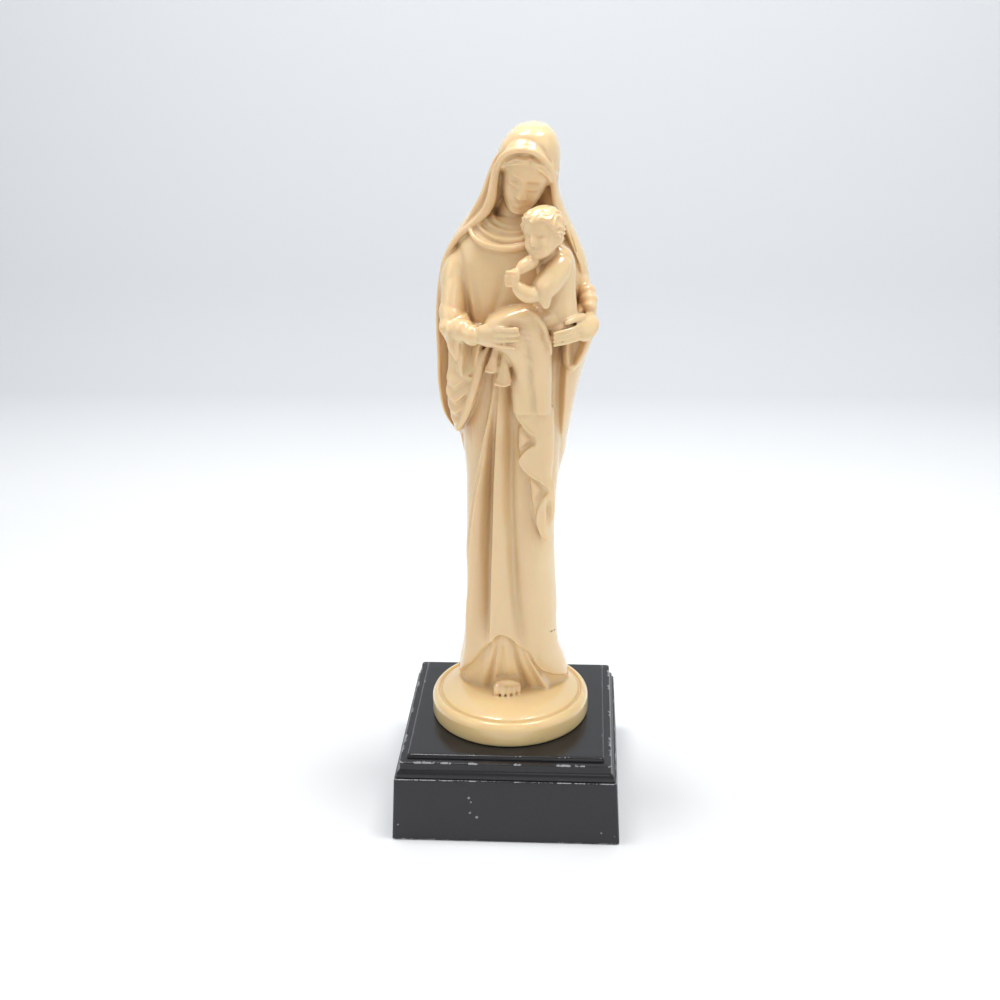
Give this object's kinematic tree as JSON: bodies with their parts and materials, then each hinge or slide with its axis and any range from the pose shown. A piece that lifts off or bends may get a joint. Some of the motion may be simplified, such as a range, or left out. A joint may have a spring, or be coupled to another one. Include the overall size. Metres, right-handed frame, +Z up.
{
  "type": "virgin and child statue",
  "caption": "Slender robed mother holding a child, cast in one with a round foot, standing on a moulded square plinth.",
  "frame": {"origin": "centre of the plinth's underside", "axes": "+Z up the figure, -Y towards the viewer the figure faces, +X towards the child's side"},
  "size_m": [0.0878, 0.0878, 0.2654],
  "materials": {
    "statue": "satin to gloss cream cast resin",
    "plinth": "black lacquer, worn at the edges"
  },
  "bodies": {
    "root": {"statue": "statue", "plinth": "plinth"}
  },
  "joints": []
}
